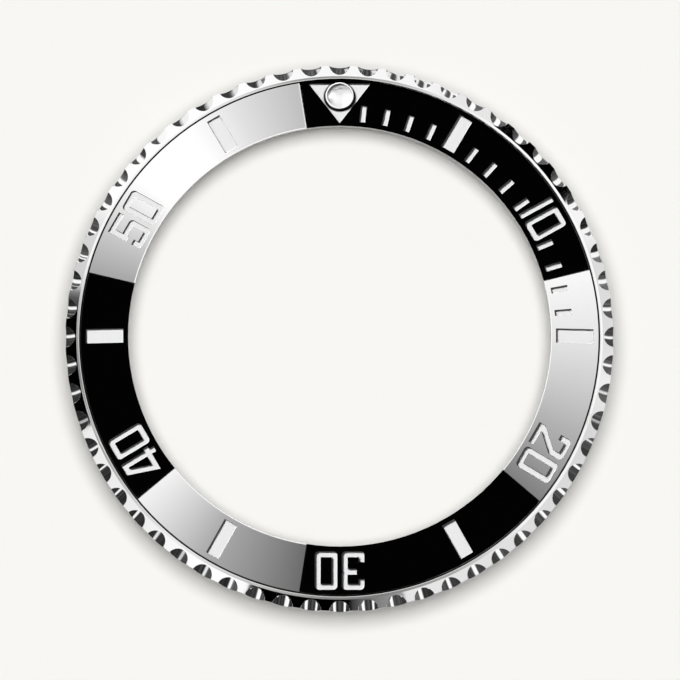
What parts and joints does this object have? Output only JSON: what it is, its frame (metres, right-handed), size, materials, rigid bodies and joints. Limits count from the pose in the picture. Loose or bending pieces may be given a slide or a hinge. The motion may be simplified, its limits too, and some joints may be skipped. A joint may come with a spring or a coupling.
{
  "type": "rotating watch bezel",
  "caption": "Fluted steel ring with a sloping black ceramic insert and sunk minute markings, which turns in clicks on a fixed seat ring pressed over a watch case collar.",
  "frame": {"origin": "centre of the case bore at the seat ring's bottom face, which rests on the watch case", "axes": "+Z along the turning axis, away from the case towards the wearer; +Y towards twelve o'clock, where the pearl is at rest; +X towards three o'clock"},
  "size_m": [0.04, 0.04, 0.0035],
  "materials": {
    "ring_steel": "polished stainless steel",
    "plain_steel": "turned stainless steel",
    "spring_steel": "hardened and ground steel",
    "ceramic": "mirror polished black ceramic",
    "inlay_metal": "fine matte bright metal lining",
    "pearl_metal": "polished",
    "lume": "matte luminous compound",
    "pearl_lens": "polished clear dome",
    "adhesive": "dark film",
    "seal_rubber": "matte black rubber",
    "washer_plastic": "waxy low friction plastic"
  },
  "bodies": {
    "seat": {"seat_ring": "plain_steel", "seat_gasket": "seal_rubber", "cover_plate": "plain_steel", "cover_screws": "spring_steel", "friction_washer": "washer_plastic", "click_spring_1": "spring_steel", "click_spring_2": "spring_steel", "click_spring_3": "spring_steel"},
    "bezel": {"bezel_ring": "ring_steel", "bezel_insert": "ceramic", "insert_adhesive": "adhesive", "triangle_marker": "inlay_metal", "minute_markers": "inlay_metal", "baton_05": "inlay_metal", "baton_15": "inlay_metal", "baton_25": "inlay_metal", "baton_35": "inlay_metal", "baton_45": "inlay_metal", "baton_55": "inlay_metal", "numeral_10": "inlay_metal", "numeral_20": "inlay_metal", "numeral_30": "inlay_metal", "numeral_40": "inlay_metal", "numeral_50": "inlay_metal", "pearl_cup": "pearl_metal", "pearl_lume": "lume", "pearl_lens": "pearl_lens", "ratchet_ring": "plain_steel", "retaining_wire": "spring_steel"},
    "pawl_1": {"click_pawl_1": "spring_steel"},
    "pawl_2": {"click_pawl_2": "spring_steel"},
    "pawl_3": {"click_pawl_3": "spring_steel"}
  },
  "joints": [
    {"name": "bezel_turn", "type": "hinge", "parent": "seat", "child": "bezel", "pos_m": [0, 0, 0.002], "axis": [0, 0, 1], "continuous": true},
    {"name": "click_pawl_1_slide", "type": "slide", "parent": "seat", "child": "pawl_1", "axis": [0, 1, 0], "range_m": [-0.00026, 0], "stiffness_N_per_m": 400, "springref_m": 0.0004, "deforming": ["click_spring_1"]},
    {"name": "click_pawl_2_slide", "type": "slide", "parent": "seat", "child": "pawl_2", "axis": [-0.866, -0.5, 0], "range_m": [-0.00026, 0], "stiffness_N_per_m": 400, "springref_m": 0.0004, "deforming": ["click_spring_2"]},
    {"name": "click_pawl_3_slide", "type": "slide", "parent": "seat", "child": "pawl_3", "axis": [0.866, -0.5, 0], "range_m": [-0.00026, 0], "stiffness_N_per_m": 400, "springref_m": 0.0004, "deforming": ["click_spring_3"]}
  ]
}
